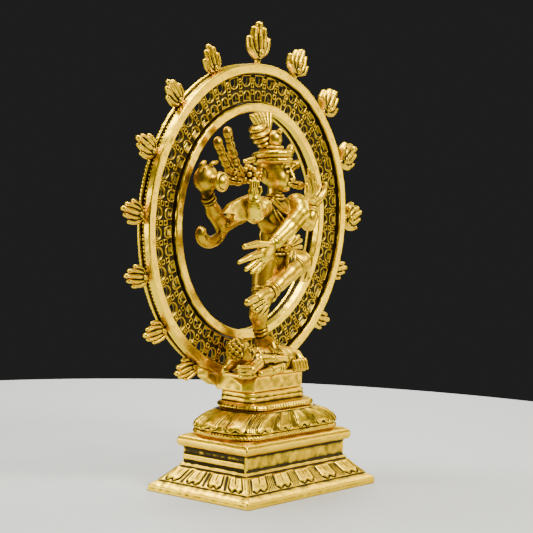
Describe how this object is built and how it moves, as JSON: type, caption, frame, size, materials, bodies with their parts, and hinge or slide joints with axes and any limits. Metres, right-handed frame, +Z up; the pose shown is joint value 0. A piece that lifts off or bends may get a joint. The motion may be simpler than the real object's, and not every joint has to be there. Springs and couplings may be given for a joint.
{
  "type": "nataraja statue",
  "caption": "Cast brass dancing figure in a pierced ring of flames, on a prone dwarf, lotus cushion and stepped hollow base.",
  "frame": {"origin": "centre of the underside of the base's foot, on the surface that it stands on", "axes": "+Z up; +X towards the dancer's left; the dancer faces -Y and the ring lies behind it"},
  "size_m": [0.2066, 0.07, 0.2559],
  "materials": {
    "cast_brass": "polished, dark in the hollows",
    "buffed_brass": "bright buffed faces",
    "patinated_brass": "antique patina, raised edges rubbed bright",
    "tie_steel": "plain zinc-plated steel"
  },
  "bodies": {
    "root": {"lotus_cushion": "cast_brass", "neck_collar": "cast_brass", "footing_slab": "cast_brass", "arch_foot_right": "cast_brass", "arch_foot_left": "cast_brass", "base_plinth": "cast_brass", "dwarf_body": "cast_brass", "dwarf_head": "cast_brass", "torso": "cast_brass", "standing_leg": "cast_brass", "raised_leg": "cast_brass", "head": "cast_brass", "crown": "cast_brass", "front_right_arm": "cast_brass", "rear_right_arm": "cast_brass", "front_left_arm": "cast_brass", "rear_left_arm": "cast_brass", "hand_flame": "cast_brass", "hair_locks_right": "cast_brass", "hair_locks_left": "cast_brass", "cobra": "cast_brass", "drum": "cast_brass", "ear_disc_right": "cast_brass", "ear_disc_left": "cast_brass", "shoulder_scarf": "cast_brass", "hip_sash": "cast_brass", "arch_outer_band": "buffed_brass", "arch_inner_band": "buffed_brass", "arch_lattice": "patinated_brass", "flame_01": "patinated_brass", "flame_02": "patinated_brass", "flame_03": "patinated_brass", "flame_04": "patinated_brass", "flame_05": "patinated_brass", "flame_06": "patinated_brass", "flame_07": "patinated_brass", "flame_08": "patinated_brass", "flame_09": "patinated_brass", "flame_10": "patinated_brass", "flame_11": "patinated_brass", "flame_12": "patinated_brass", "flame_13": "patinated_brass", "flame_14": "patinated_brass", "flame_15": "patinated_brass", "tie_rod": "tie_steel", "tie_nut": "tie_steel", "tie_washer": "tie_steel"}
  },
  "joints": []
}
